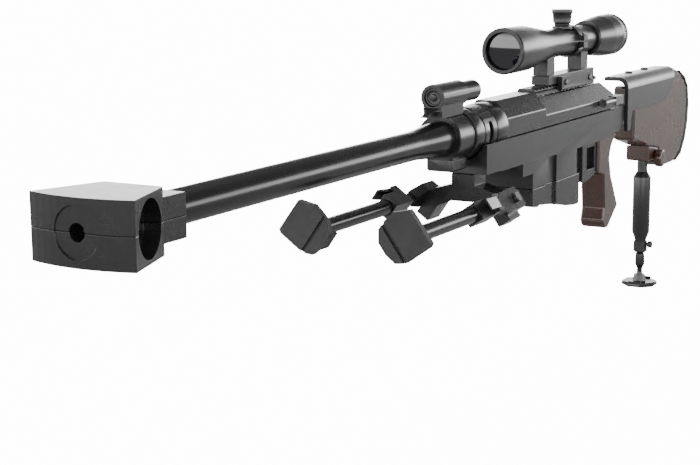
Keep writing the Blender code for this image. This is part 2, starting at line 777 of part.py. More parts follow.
def telescope():
    """A hollow body with its lenses and erector tube, the eyepiece, and two turret knobs."""
    wall = SCOPE_WALL
    axis = (0, 0, SCOPE_Z)
    body_profile = [
        (0.7227, 0.0208),
        (0.7227, 0.0246),
        (0.7240, 0.0258),
        (0.7300, 0.0258),
        (0.7750, 0.0254),
        (0.8420, SCOPE_TUBE),
        (0.9770, SCOPE_TUBE),
        (0.9770, SCOPE_TUBE - wall),
        (0.8450, SCOPE_TUBE - wall),
        (0.7780, 0.0222),
        (0.7250, 0.0222),
        (0.7250, 0.0208),
    ]
    body = turned("scope_body", "black", body_profile, axis, (1, 0, 0))
    x, start = TURRET_X, 0.0155
    top, side = TURRET_TOP - GAP, TURRET_SIDE - GAP
    saddle = rod("turret_saddle", None, (x, 0, SCOPE_Z + start), (x, 0, top), 0.0118, 24)
    side_saddle = rod("windage_saddle", None, (x, start, SCOPE_Z), (x, side, SCOPE_Z), 0.0118, 24)
    join(body, saddle, side_saddle)

    lens = [(0, 0), (0, 0.0200), (0.0006, 0.0219), (0.0046, 0.0219), (0.0046, 0)]
    turned("objective_lens", "glass", lens, (0.7255, 0, SCOPE_Z), (1, 0, 0))
    inner_profile = [(0.850, 0.0080), (0.850, 0.0100), (0.955, 0.0100), (0.955, 0.0080)]
    tube = turned("erector_tube", "black", inner_profile, axis, (1, 0, 0), 20)
    collar_profile = [(0.958, 0.0060), (0.958, 0.0144), (0.951, 0.0144), (0.951, 0.0060)]
    collar = turned("erector_collar", None, list(reversed(collar_profile)), axis, (1, 0, 0), 20)
    join(tube, collar)

    eyepiece_profile = [
        (0.9700, SCOPE_TUBE + GAP),
        (0.9700, 0.0195),
        (0.9715, 0.0212),
        (1.0150, 0.0252),
        (1.0370, 0.0260),
        (1.0370, 0.0225),
        (1.0100, 0.0215),
        (0.9780, SCOPE_TUBE - wall),
        (0.9773, SCOPE_TUBE - wall),
        (0.9773, SCOPE_TUBE + GAP),
    ]
    turned("eyepiece_housing", "black", eyepiece_profile, axis, (1, 0, 0))
    focus_profile = [
        (0, 0.0205),
        (0, 0.0257),
        (0.0170, 0.0260),
        (0.0186, 0.0250),
        (0.0186, 0.0205),
    ]
    turned("focus_ring", "black", focus_profile, (0, 0, 0), (1, 0, 0), 32, focus_pivot)
    rear_lens = [(0, 0), (0, 0.0202), (0.0040, 0.0202), (0.0046, 0.0185), (0.0046, 0)]
    turned("eyepiece_lens", "glass", rear_lens, (0.0080, 0, 0), (1, 0, 0), 32, focus_pivot)

    knob = [
        (0, 0),
        (0, 0.0092),
        (0.0030, 0.0092),
        (0.0040, 0.0108),
        (0.0145, 0.0115),
        (0.0155, 0.0125),
        (0.0195, 0.0125),
        (0.0195, 0),
    ]
    turned("elevation_knob", "black", knob, (0, 0, 0), (0, 0, 1), 24, elevation_pivot)
    short_knob = [(0, 0), (0, 0.0085), (0.0040, 0.0085), (0.0055, 0.0112)]
    short_knob += [(0.0125, 0.0118), (0.0140, 0.0105), (0.0140, 0)]
    turned("windage_knob", "black", short_knob, (0, 0, 0), (0, 1, 0), 24, windage_pivot)


# ---------------------------------------------------------------- bipod


def from_leg(outward, below):
    """(y, z) of a point given outward from the hinge and below it along an opened right leg."""
    y = HINGE[1] + outward * math.cos(SPLAY) + below * math.sin(SPLAY)
    z = HINGE[2] + outward * math.sin(SPLAY) - below * math.cos(SPLAY)
    return y, z


def yoke():
    """The post that plugs in under the chassis, and the two splayed arms that carry the legs."""
    half = [
        (0.0, -0.0560),
        (0.0150, -0.0560),
        from_leg(ARM_OUTER, -0.0140),
        from_leg(ARM_OUTER, ARM_BELOW_HINGE),
        from_leg(ARM_INNER, ARM_BELOW_HINGE),
        from_leg(ARM_INNER, -0.0040),
        (0.0130, -0.0735),
        (0.0, -0.0735),
    ]
    arms = plate("bipod_yoke", "black", mirrored(half), 0.6240, 0.6520, "X")
    post_low, post_high = (0.6225, -0.0135, -0.0600), (0.6535, 0.0135, POST_SEAT_Z - GAP)
    post = box("bipod_post", None, post_low, post_high, 0.0015)
    join(arms, post)
    for side in (-1, 1):
        label = side_name(side)
        hinge = pivots["fold", side]
        hole = rod(
            f"yoke_hole_{label}",
            None,
            (0, side * (ARM_INNER - 0.004), 0),
            (0, side * 0.01, 0),
            0.0033,
            16,
            hinge,
        )
        cut(arms, hole)


def side_name(side):
    return "left" if side < 0 else "right"


def leg(side):
    """One leg: bracket and inner rod on the hinge, tube and clamp that slide, lever and foot."""
    label = side_name(side)
    kinds = ("fold", "slide", "lever", "foot")
    fold, slide, lever_pin, foot_pin = (pivots[kind, side] for kind in kinds)

    low, high = sorted((side * (ARM_OUTER + GAP), side * 0.0070))
    bracket_outline = [
        (0.0150, -0.0090),
        (0.0150, 0.0060),
        (0.0100, 0.0120),
        (-0.0160, 0.0120),
        (-0.0400, 0.0062),
        (-0.0400, -0.0062),
        (-0.0160, -0.0120),
        (0.0100, -0.0120),
    ]
    arm = plate(f"leg_arm_{label}", "black", bracket_outline, low, high, "Y", 0, fold)
    inner_rod = rod(f"leg_rod_{label}", None, (-0.0350, 0, 0), (-0.1750, 0, 0), LEG_ROD, 20, fold)
    hole = rod(f"leg_hole_{label}", None, (0, -0.02, 0), (0, 0.02, 0), 0.0033, 16, fold)
    join(arm, inner_rod)
    cut(arm, hole)

    bolt = [
        (0, 0),
        (0, 0.0055),
        (0.0034, 0.0055),
        (0.0034, 0.0030),
        (0.0320, 0.0030),
        (0.0320, 0),
    ]
    start = (0, side * 0.0107, 0)
    turned(f"hinge_bolt_{label}", "steel", bolt, start, (0, -side, 0), 16, fold)

    bore = LEG_ROD + GAP
    tube_profile = [
        (0, 0),
        (0, LEG_TUBE),
        (0.1400, LEG_TUBE),
        (0.1400, bore),
        (0.0060, bore),
        (0.0060, 0),
    ]
    tube = turned(f"leg_tube_{label}", "black", tube_profile, (TUBE_END, 0, 0), (1, 0, 0), 24, slide)
    tongue_root, tongue_half = TUBE_END + 0.001, 0.0040
    tongue_outline = [(tongue_root, -tongue_half), (tongue_root, tongue_half)]
    tongue_outline += arc((FOOT_PIN, 0), tongue_half, 90, 270, 6)
    tongue = plate(f"leg_tongue_{label}", None, tongue_outline, -0.0040, 0.0040, "Z", 0, slide)
    above, below = (FOOT_PIN, 0, 0.02), (FOOT_PIN, 0, -0.02)
    pin_hole = rod(f"leg_pin_hole_{label}", None, below, above, 0.0018, 12, slide)
    join(tube, tongue)
    cut(tube, pin_hole)

    clamp = box(
        f"leg_clamp_{label}",
        "black",
        (CLAMP_FRONT, -0.0092, -0.0098),
        (CLAMP_REAR, 0.0092, 0.0098),
        0,
        slide,
    )
    ear_y = sorted((side * 0.0080, side * 0.0172))
    ears = plate(
        f"leg_ears_{label}",
        None,
        [(-0.0690, ear_y[0]), (-0.0565, ear_y[0]), (-0.0565, ear_y[1]), (-0.0690, ear_y[1])],
        -0.0092,
        0.0092,
        "Z",
        0,
        slide,
    )
    slot_y = sorted((side * 0.0100, side * 0.0250))
    slot_low, slot_high = (-0.0800, slot_y[0], -0.0063), (-0.0400, slot_y[1], 0.0063)
    slot = box(f"leg_slot_{label}", None, slot_low, slot_high, 0, slide)
    clamp_bore = rod(f"clamp_bore_{label}", None, (-0.12, 0, 0), (-0.03, 0, 0), bore, 20, slide)
    seat = LEG_TUBE + GAP
    tube_seat = rod(f"clamp_seat_{label}", None, (-0.12, 0, 0), (-0.0837, 0, 0), seat, 24, slide)
    pin_bore = rod(
        f"clamp_pin_bore_{label}",
        None,
        (LEVER_PIN[0], side * LEVER_PIN[1], -0.02),
        (LEVER_PIN[0], side * LEVER_PIN[1], 0.02),
        0.0018,
        12,
        slide,
    )
    join(clamp, ears)
    cut(clamp, slot, clamp_bore, tube_seat, pin_bore)

    lever_outline = [
        (0.0028, -0.0016),
        (0.0028, 0.0016),
        (-0.0020, 0.0032),
        (-0.0300, 0.0066),
        (-0.0300, 0.0044),
        (-0.0110, -0.0006),
        (-0.0020, -0.0028),
    ]
    lever_outline = [(x, side * y) for x, y in lever_outline]
    lever = plate(f"clamp_lever_{label}", "black", lever_outline, -0.0060, 0.0060, "Z", 0, lever_pin)
    pin = rod(f"clamp_pin_{label}", None, (0, 0, -0.0100), (0, 0, 0.0100), 0.0015, 12, lever_pin)
    join(lever, pin)

    foot_outline = [
        (0.0096, 0.0260),
        (0.0260, 0.0189),
        (0.0268, -0.0179),
        (0.0233, -0.0202),
        (-0.0061, -0.0202),
        (-0.0160, -0.0150),
        (-0.0200, -0.0030),
        (-0.0200, 0.0102),
        (-0.0125, 0.0208),
        (-0.0028, 0.0240),
    ]
    foot_outline = [(side * y, z) for y, z in foot_outline]
    foot = plate(f"bipod_foot_{label}", "rubber", foot_outline, -0.0150, -0.0080, "X", 0, foot_pin)
    flange_y = sorted((side * -0.0198, side * -0.0085))
    flange_low, flange_high = (-0.0100, flange_y[0], -0.0060), (0.0020, flange_y[1], 0.0120)
    join(foot, box(f"foot_flange_{label}", None, flange_low, flange_high, 0, foot_pin))
    for name, z in (("upper", 0.0062), ("lower", -0.0062)):
        ear = box(
            f"foot_ear_{name}_{label}",
            None,
            (-0.0090, -0.0045, z - 0.0018),
            (0.0045, 0.0045, z + 0.0018),
            0,
            foot_pin,
        )
        join(foot, ear)
    join(foot, rod(f"foot_pin_{label}", None, (0, 0, -0.0075), (0, 0, 0.0075), 0.0015, 12, foot_pin))
    groove_y = sorted((side * -0.0080, side * -0.0040))
    groove_low, groove_high = (-0.02, groove_y[0], -0.04), (-0.0125, groove_y[1], 0.04)
    groove = box(f"foot_groove_{label}", None, groove_low, groove_high, 0, foot_pin)
    cut(foot, groove)


# ---------------------------------------------------------------- build

cheek = empty("cheek_rest_slide", (0, 0, 0), datum)
lock_pivot = empty("monopod_lock_pivot", (0, 0, 0), datum)
thumb_pivot = empty("monopod_thumb_pivot", (0, 0, 0), datum)
monopod_slide = empty("monopod_slide", (0, 0, 0), datum)
monopod_ankle = empty("monopod_ankle", (MONOPOD_X, 0, MONOPOD_ANKLE_Z), datum)
focus_pivot = empty("focus_pivot", (FOCUS_X, 0, SCOPE_Z), datum)
elevation_pivot = empty("elevation_pivot", (TURRET_X, 0, TURRET_TOP), datum)
windage_pivot = empty("windage_pivot", (TURRET_X, TURRET_SIDE, SCOPE_Z), datum)

pivots = {}
for way in (-1, 1):
    place = (HINGE[0], way * HINGE[1], HINGE[2])
    pivots["fold", way] = empty(f"fold_pivot_{side_name(way)}", place, datum, (way * SPLAY, 0, 0))
    pivots["slide", way] = empty(f"leg_slide_{side_name(way)}", (0, 0, 0), pivots["fold", way])
    lever_at = (LEVER_PIN[0], way * LEVER_PIN[1], 0)
    pivots["lever", way] = empty(f"lever_pivot_{side_name(way)}", lever_at, pivots["fold", way])
    pivots["foot", way] = empty(f"foot_pivot_{side_name(way)}", (FOOT_PIN, 0, 0), pivots["fold", way])

barrel()
front_fittings()
receiver()
chassis()
guard()
grip()
stock()
cheek_rest()
monopod()
rail_and_mount()
telescope()
yoke()
leg(-1)
leg(1)
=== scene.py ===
"""Looks of the display rifle replica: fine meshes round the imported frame, procedural materials and a studio.

X runs from muzzle to butt, -Y is the left-hand side and +Z is up, in metres. Every piece stands for one
CAD node and takes its place from it. Round pieces are turned again at a finer step, flat pieces are
refined copies with rounded edges, and each rides on its node's body.
"""

import json
import math
from collections import namedtuple

import bmesh
import bpy
from mathutils import Matrix, Vector


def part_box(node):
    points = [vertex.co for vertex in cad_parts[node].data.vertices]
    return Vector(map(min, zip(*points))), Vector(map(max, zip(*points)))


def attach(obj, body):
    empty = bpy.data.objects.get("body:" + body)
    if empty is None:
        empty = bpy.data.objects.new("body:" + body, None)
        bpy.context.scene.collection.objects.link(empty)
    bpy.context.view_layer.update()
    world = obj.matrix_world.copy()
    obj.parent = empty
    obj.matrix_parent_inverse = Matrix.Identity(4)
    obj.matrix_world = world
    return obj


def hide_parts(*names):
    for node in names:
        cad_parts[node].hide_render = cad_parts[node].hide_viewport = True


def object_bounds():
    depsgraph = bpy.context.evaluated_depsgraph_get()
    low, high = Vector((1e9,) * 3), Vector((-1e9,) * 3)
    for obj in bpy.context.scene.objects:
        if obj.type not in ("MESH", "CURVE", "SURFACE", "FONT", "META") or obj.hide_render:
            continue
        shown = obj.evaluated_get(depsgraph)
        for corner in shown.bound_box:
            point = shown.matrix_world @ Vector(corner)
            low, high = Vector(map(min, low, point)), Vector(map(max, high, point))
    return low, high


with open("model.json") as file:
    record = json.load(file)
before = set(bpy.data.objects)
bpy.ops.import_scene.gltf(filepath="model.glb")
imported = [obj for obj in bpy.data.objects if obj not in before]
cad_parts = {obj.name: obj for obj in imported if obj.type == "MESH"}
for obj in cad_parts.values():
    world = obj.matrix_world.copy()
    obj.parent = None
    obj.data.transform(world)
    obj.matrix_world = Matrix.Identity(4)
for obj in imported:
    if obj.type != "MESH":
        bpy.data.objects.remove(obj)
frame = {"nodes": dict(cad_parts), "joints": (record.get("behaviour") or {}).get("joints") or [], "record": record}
cad_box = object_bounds()
record = frame["record"]
BODY_OF = {node: body for body, nodes in record["behaviour"]["bodies"].items() for node in nodes}
SLOT_OF = {entry["node"]: entry["material_slot"] for entry in record["subparts"]}
PIVOT = {joint["child"]: Vector(joint["pos_m"]) for joint in frame["joints"] if "pos_m" in joint}

# ---------------------------------------------------------------- materials

CLOUD_SCALE = 22.0
SMEAR_SCALE = 55.0
GRAIN_DEPTH = 0.0002
# Pointiness, 0.5 on a flat face, at which wear begins and is full
WEAR_FROM, WEAR_FULL = 0.53, 0.62
ALONG_BARREL = (0.12, 1.0, 1.0)
ROUND_BARREL = (1.0, 0.12, 0.12)


def new_material(name):
    made = bpy.data.materials.new(name)
    made.use_nodes = True
    return made, made.node_tree.nodes, made.node_tree.links


def noise(nodes, links, where, scale, detail=4.0, stretch=None):
    """A noise texture in object space, stretched along an axis for a brushed grain."""
    texture = nodes.new("ShaderNodeTexNoise")
    texture.inputs["Scale"].default_value = scale
    texture.inputs["Detail"].default_value = detail
    if stretch:
        mapping = nodes.new("ShaderNodeMapping")
        mapping.inputs["Scale"].default_value = stretch
        links.new(where, mapping.inputs["Vector"])
        where = mapping.outputs["Vector"]
    links.new(where, texture.inputs["Vector"])
    return texture.outputs["Fac"]


def ramp(nodes, links, value, stops):
    """A colour ramp over (position, colour) stops."""
    made = nodes.new("ShaderNodeValToRGB")
    band = made.color_ramp
    while len(band.elements) < len(stops):
        band.elements.new(0.5)
    for element, (position, colour) in zip(band.elements, stops):
        element.position = position
        element.color = (*colour, 1)
    links.new(value, made.inputs["Fac"])
    return made.outputs["Color"]


def spread(nodes, links, value, low, high):
    """The value's 0.3 to 0.7 mapped to low to high."""
    made = nodes.new("ShaderNodeMapRange")
    made.inputs["From Min"].default_value = 0.3
    made.inputs["From Max"].default_value = 0.7
    made.inputs["To Min"].default_value = low
    made.inputs["To Max"].default_value = high
    links.new(value, made.inputs["Value"])
    return made.outputs["Result"]


def worn_edges(nodes, links, amount):
    """A factor that rises to the amount on convex edges and is nought elsewhere."""
    geometry = nodes.new("ShaderNodeNewGeometry")
    made = nodes.new("ShaderNodeMapRange")
    made.inputs["From Min"].default_value = WEAR_FROM
    made.inputs["From Max"].default_value = WEAR_FULL
    made.inputs["To Max"].default_value = amount
    links.new(geometry.outputs["Pointiness"], made.inputs["Value"])
    return made.outputs["Result"]


def coated(name, colour, shade, roughness, metallic, grain, bump, wear=0.03, stretch=None, coat=0.0):
    """A coated or moulded surface: cloudy colour, uneven gloss, fine grain and lighter worn edges."""
    made, nodes, links = new_material(name)
    shader = nodes["Principled BSDF"]
    shader.inputs["Metallic"].default_value = metallic
    shader.inputs["Coat Weight"].default_value = coat
    shader.inputs["Coat Roughness"].default_value = 0.12
    where = nodes.new("ShaderNodeTexCoord").outputs["Object"]
    clouds = noise(nodes, links, where, CLOUD_SCALE)
    base = ramp(nodes, links, clouds, [(0.25, shade), (0.75, colour)])
    mix = nodes.new("ShaderNodeMix")
    mix.data_type = "RGBA"
    mix.inputs["B"].default_value = (*[min(1, 3.0 * c + 0.01) for c in colour], 1)
    links.new(worn_edges(nodes, links, wear), mix.inputs["Factor"])
    links.new(base, mix.inputs["A"])
    links.new(mix.outputs["Result"], shader.inputs["Base Color"])
    smears = noise(nodes, links, where, SMEAR_SCALE, 6.0, stretch)
    links.new(spread(nodes, links, smears, roughness[0], roughness[1]), shader.inputs["Roughness"])
    fine = noise(nodes, links, where, grain, 3.0, stretch)
    raised = nodes.new("ShaderNodeBump")
    raised.inputs["Strength"].default_value = bump
    raised.inputs["Distance"].default_value = GRAIN_DEPTH
    links.new(fine, raised.inputs["Height"])
    links.new(raised.outputs["Normal"], shader.inputs["Normal"])
    return made


def lens_material():
    made, nodes, links = new_material("lens_glass")
    shader = nodes["Principled BSDF"]
    shader.inputs["Coat Weight"].default_value = 0.2
    shader.inputs["Coat Roughness"].default_value = 0.03
    where = nodes.new("ShaderNodeTexCoord").outputs["Object"]
    tint = noise(nodes, links, where, 30.0, 1.0)
    stops = [(0.3, (0.004, 0.004, 0.005)), (0.7, (0.007, 0.006, 0.009))]
    links.new(ramp(nodes, links, tint, stops), shader.inputs["Base Color"])
    links.new(spread(nodes, links, tint, 0.03, 0.07), shader.inputs["Roughness"])
    return made


MATERIALS = {
    "dark_metal": coated(
        "dark_metal",
        colour=(0.010, 0.010, 0.0105),
        shade=(0.008, 0.008, 0.0084),
        roughness=(0.25, 0.28),
        metallic=0.15,
        grain=1800.0,
        bump=0.001,
    ),
    "turned_metal": coated(
        "turned_metal",
        colour=(0.010, 0.010, 0.0105),
        shade=(0.007, 0.007, 0.0074),
        roughness=(0.22, 0.26),
        metallic=0.25,
        grain=900.0,
        bump=0.008,
        stretch=ROUND_BARREL,
    ),
    "dark_aluminium": coated(
        "dark_aluminium",
        colour=(0.011, 0.011, 0.0115),
        shade=(0.008, 0.008, 0.0084),
        roughness=(0.28, 0.31),
        metallic=0.12,
        grain=2400.0,
        bump=0.001,
    ),
    "bare_steel": coated(
        "bare_steel",
        colour=(0.16, 0.16, 0.165),
        shade=(0.10, 0.10, 0.105),
        roughness=(0.24, 0.36),
        metallic=1.0,
        grain=700.0,
        bump=0.05,
        wear=0.2,
        stretch=ALONG_BARREL,
    ),
    "brown_polymer": coated(
        "brown_polymer",
        colour=(0.032, 0.0115, 0.0065),
        shade=(0.024, 0.0085, 0.0048),
        roughness=(0.25, 0.28),
        metallic=0.0,
        grain=1500.0,
        bump=0.004,
        wear=0.08,
        coat=0.2,
    ),
    "rubber": coated(
        "rubber",
        colour=(0.010, 0.010, 0.0105),
        shade=(0.007, 0.007, 0.0074),
        roughness=(0.50, 0.66),
        metallic=0.0,
        grain=2600.0,
        bump=0.20,
        wear=0.08,
    ),
    "lens_glass": lens_material(),
}

# ---------------------------------------------------------------- mesh tools

X_AXIS = (1, 0, 0)
ON_AXIS = 1e-6
MERGE = 2e-6
KNURL_RAMP = 0.0004
KNURL_INSET = 0.0003

# The surface between the distances low and high gets a number of upright teeth of a depth
Knurl = namedtuple("Knurl", "low high teeth depth")


def place(piece, node, material=None):
    """The piece stands for the node: it rides on its body and takes its finish."""
    slot = SLOT_OF[node]
    piece.data.materials.clear()
    piece.data.materials.append(MATERIALS[material or slot])
    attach(piece, BODY_OF[node])
    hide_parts(node)
    return piece


def linked(name, mesh):
    made = bpy.data.objects.new(name, mesh)
    bpy.context.scene.collection.objects.link(made)
    return made


def settle(piece):
    """Applies the modifiers, so that the mesh is final."""
    bpy.context.view_layer.update()
    graph = bpy.context.evaluated_depsgraph_get()
    mesh = bpy.data.meshes.new_from_object(piece.evaluated_get(graph))
    piece.modifiers.clear()
    piece.data = mesh
    return piece


def refined(node, width=0.0009, segments=3, angle=28, material=None, smooth=None):
    """A copy of the node with its flat faces made whole and its edges rounded.

    Edges sharper than smooth, or else than angle, stay sharp in the shading.
    """
    bm = bmesh.new()
    bm.from_mesh(frame["nodes"][node].data)
    bmesh.ops.remove_doubles(bm, verts=bm.verts, dist=MERGE)
    bmesh.ops.dissolve_limit(bm, angle_limit=math.radians(1.0), verts=bm.verts, edges=bm.edges)
    mesh = bpy.data.meshes.new(node + "_fine")
    bm.to_mesh(mesh)
    bm.free()
    mesh.shade_smooth()
    mesh.set_sharp_from_angle(angle=math.radians(smooth or angle))
    piece = linked(node + "_fine", mesh)
    bevel = piece.modifiers.new("edges", "BEVEL")
    bevel.width = width
    bevel.segments = segments
    bevel.limit_method = "ANGLE"
    bevel.angle_limit = math.radians(angle)
    bevel.use_clamp_overlap = True
    bevel.miter_outer = "MITER_ARC"
    bevel.harden_normals = True
    return place(settle(piece), node, material)


def rounded(profile, radius, steps=3):
    """The profile of (distance, radius) pairs with its corners rounded, but not its ends on the axis."""
    points = [Vector(p) for p in profile]
    made = []
    for i, here in enumerate(points):
        if i in (0, len(points) - 1):
            made.append(here)
            continue
        before, after = points[i - 1] - here, points[i + 1] - here
        reach = min(radius, before.length * 0.45, after.length * 0.45)
        nearly_straight = before.angle(after, math.pi) > math.radians(172)
        if reach < 1e-5 or nearly_straight:
            made.append(here)
            continue
        first, last = here + before.normalized() * reach, here + after.normalized() * reach
        for k in range(steps + 1):
            t = k / steps
            made.append(first * (1 - t) ** 2 + here * 2 * t * (1 - t) + last * t**2)
    return made


def turned(name, profile, start, along, steps=96, edge=0.0006, knurl=None):
    """A profile of (distance, radius) pairs turned about the line from start along a direction.

    A profile that starts off the axis is closed into a ring.
    """
    closed = profile[0][1] > ON_AXIS
    if closed:
        profile = [*profile, profile[0]]
    outline = rounded(profile, edge)
    if closed:
        outline = outline[:-1]
    if knurl:
        outline = with_rows(outline, knurl)
    turn = Vector((0, 0, 1)).rotation_difference(Vector(along)).to_matrix().to_4x4()
    bm = bmesh.new()
    rings = []
    for distance, radius in outline:
        if radius < ON_AXIS:
            rings.append([bm.verts.new((0, 0, distance))])
            continue
        ring = []
        for i in range(steps):
            angle = 2 * math.pi * i / steps
            reach = radius - groove_at(knurl, distance, i, steps)
            ring.append(bm.verts.new((reach * math.cos(angle), reach * math.sin(angle), distance)))
        rings.append(ring)
    pairs = list(zip(rings, rings[1:]))
    if closed:
        pairs.append((rings[-1], rings[0]))
    for lower, upper in pairs:
        for i in range(steps):
            j = (i + 1) % steps
            corners = [lower[i % len(lower)], lower[j % len(lower)]]
            corners += [upper[j % len(upper)], upper[i % len(upper)]]
            whole = list(dict.fromkeys(corners))
            if len(whole) > 2:
                bm.faces.new(whole)
    bmesh.ops.recalc_face_normals(bm, faces=bm.faces)
    bmesh.ops.transform(bm, matrix=Matrix.Translation(Vector(start)) @ turn, verts=bm.verts)
    mesh = bpy.data.meshes.new(name)
    bm.to_mesh(mesh)
    bm.free()
    piece = linked(name, mesh)
    mesh.shade_smooth()
    mesh.set_sharp_from_angle(angle=math.radians(38))
    return piece


def with_rows(outline, knurl):
    """Extra rows where the teeth begin and end, so that they run out sharply."""
    stops = (knurl.low, knurl.low + KNURL_RAMP, knurl.high - KNURL_RAMP, knurl.high)
    made = [outline[0]]
    for here, there in zip(outline, outline[1:]):
        span = there[0] - here[0]
        if abs(span) > 1e-6 and min(here[1], there[1]) > ON_AXIS:
            for stop in sorted(stops, reverse=span < 0):
                share = (stop - here[0]) / span
                if 0.001 < share < 0.999:
                    made.append(Vector((stop, here[1] + share * (there[1] - here[1]))))
        made.append(there)
    return made


def groove_at(knurl, distance, index, steps):
    """How far the surface is cut back there: the second half of each tooth's share is its groove."""
    if not knurl or not knurl.low + KNURL_INSET <= distance <= knurl.high - KNURL_INSET:
        return 0.0
    per_tooth = steps / knurl.teeth
    return knurl.depth if (index % per_tooth) >= per_tooth / 2 else 0.0


def middle(node):
    low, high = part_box(node)
    return (low + high) / 2


# ---------------------------------------------------------------- the object

# Distances along the barrel are from the front of the muzzle block's square corners, at its centre line
BARREL_START, FLARE_START, FLARE_END, BARREL_END = 0.0723, 0.500, 0.566, 0.6785
BARREL_RADIUS, FLARE_GROWTH = 0.0145, 0.0040
TUBE_FRONT = 0.552
GUSSET_REACH = 0.004
SEAM_REACH, SEAM_CLOSED = 0.0006, 0.8
DATUM = Vector((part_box("barrel_rod")[0].x - BARREL_START, 0, middle("collar_front").z))


def at(x, y=0.0, z=0.0):
    return DATUM + Vector((x, y, z))


def close_seam(half):
    """Brings the seam's faces nearly together, so that no light shows through."""
    for vert in half.data.vertices:
        height = (half.matrix_world @ vert.co).z - DATUM.z
        if abs(height) < SEAM_REACH:
            vert.co.z -= height * SEAM_CLOSED


def small_tube(front):
    """The small tube and its web, with the two wedges beside the web's front edge drawn back to front."""
    node = frame["nodes"]["sight_housing"]
    mesh = node.data.copy()
    back = node.matrix_world.inverted()
    for vertex in mesh.vertices:
        here = node.matrix_world @ vertex.co
        if abs(here.y) > GUSSET_REACH and here.x < front:
            vertex.co = back @ Vector((front, here.y, here.z))
    bm = bmesh.new()
    bm.from_mesh(mesh)
    bmesh.ops.dissolve_degenerate(bm, dist=MERGE, edges=bm.edges)
    bm.to_mesh(mesh)
    bm.free()
    mesh.shade_smooth()
    mesh.set_sharp_from_angle(angle=math.radians(30))
    place(linked("sight_housing_fine", mesh), "sight_housing")


def barrel_group():
    root_radius, steps = 0.0185, 14
    profile = [(BARREL_START, 0), (BARREL_START, BARREL_RADIUS), (FLARE_START, BARREL_RADIUS)]
    for i in range(1, steps + 1):
        t = i / steps
        swell = FLARE_GROWTH * t * t * (3 - 2 * t)
        profile.append((FLARE_START + t * (FLARE_END - FLARE_START), BARREL_RADIUS + swell))
    profile += [(BARREL_END, root_radius), (BARREL_END, 0)]
    place(turned("barrel_fine", profile, DATUM, X_AXIS, 128), "barrel_rod", "turned_metal")
    for node in ("muzzle_block_upper", "muzzle_block_lower"):
        close_seam(refined(node, 0.0006, 3, 24, smooth=1.0))
    for node in ("front_ring", "collar_slotted"):
        refined(node, 0.0006, 3, 30)
    small_tube(DATUM.x + TUBE_FRONT)
    for node in ("collar_front", "collar_rear"):
        low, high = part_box(node)
        outer, bore = (high.z - low.z) / 2, 0.0188
        length = high.x - low.x
        ring = [(0, bore), (0, outer), (length, outer), (length, bore)]
        start = (low.x, 0, DATUM.z)
        place(turned(node + "_fine", ring, start, X_AXIS, 112, 0.0009), node, "turned_metal")
    low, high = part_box("sight_front_insert")
    face = [(0.0, 0), (0.0, 0.0030), (0.0015, 0.0035), (0.0015, 0.0065), (0.0, 0.0070), (0.0, 0.0088)]
    face += [(high.x - low.x, 0.0088), (high.x - low.x, 0)]
    start = (low.x, 0, (low.z + high.z) / 2)
    place(turned("sight_insert_fine", face, start, X_AXIS, 64, 0.0003), "sight_front_insert")


def body_group():
    for node in ("receiver", "chassis", "magazine_block"):
        refined(node, 0.0012, 3, 26)
    for node in ("guard_frame", "monopod_bracket", "side_peg", "trigger_dummy", "bipod_yoke"):
        refined(node, 0.0008, 3, 26)
    refined("grip", 0.0016, 4, 14)
    refined("stock", 0.0016, 4, 14)
    refined("butt_plate", 0.0003, 2, 26)
    refined("butt_pad", 0.0012, 3, 14)
    refined("cheek_rest", 0.0010, 3, 26)
    for node in ("cheek_post_front", "cheek_post_rear"):
        low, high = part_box(node)
        height, radius = high.z - low.z, (high.x - low.x) / 2
        profile = [(0, 0), (0, radius), (height, radius), (height, 0)]
        start = ((low.x + high.x) / 2, 0, low.z)
        place(turned(node + "_fine", profile, start, (0, 0, 1), 48, 0.0004), node)


def rail_group():
    for node in ("accessory_rail", "mount_base", "mount_side_clamp"):
        refined(node, 0.0005, 2, 26)
    for node in ("mount_post_front", "mount_post_rear", "scope_ring"):
        refined(node, 0.0006, 3, 26)


def screw_head(node, along, slot_width=0.0009, slot_depth=0.0007):
    """A screw head with a bevelled rim and a straight slot across its face."""
    low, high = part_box(node)
    size = high - low
    direction = Vector(along)
    length = abs(size.dot(direction))
    across = max(abs(c) for c in size - direction * size.dot(direction)) / 2
    start = (low + high) / 2 - direction * length / 2
    profile = [(0, 0), (0, across), (length - 0.0006, across), (length, across - 0.0008), (length, 0)]
    head = turned(node + "_fine", profile, start, along, 48, 0.0003)
    cutter = bpy.data.meshes.new("slot")
    bm = bmesh.new()
    bmesh.ops.create_cube(bm, size=1)
    side = Vector((1, 0, 0)) if abs(direction.x) < 0.5 else Vector((0, 1, 0))
    other = direction.cross(side)
    for vert in bm.verts:
        u, v, w = vert.co
        vert.co = side * (u * 3 * across) + other * (v * slot_width) + direction * (w * 2 * slot_depth)
    bmesh.ops.translate(bm, vec=start + direction * length, verts=bm.verts)
    bm.to_mesh(cutter)
    bm.free()
    tool = linked("slot_tool", cutter)
    step = head.modifiers.new("slot", "BOOLEAN")
    step.operation = "DIFFERENCE"
    step.object = tool
    settle(head)
    bpy.data.objects.remove(tool)
    head.data.shade_smooth()
    head.data.set_sharp_from_angle(angle=math.radians(35))
    return place(head, node)


def screws():
    for node in ("mount_screw_front", "mount_screw_rear"):
        screw_head(node, (0, -1, 0))
    for node in ("cheek_screw_front", "cheek_screw_rear"):
        screw_head(node, (0, 0, 1))
    refined("scope_ring_screw", 0.0003, 2, 30)
    for side in ("left", "right"):
        refined(f"hinge_bolt_{side}", 0.0004, 2, 30)


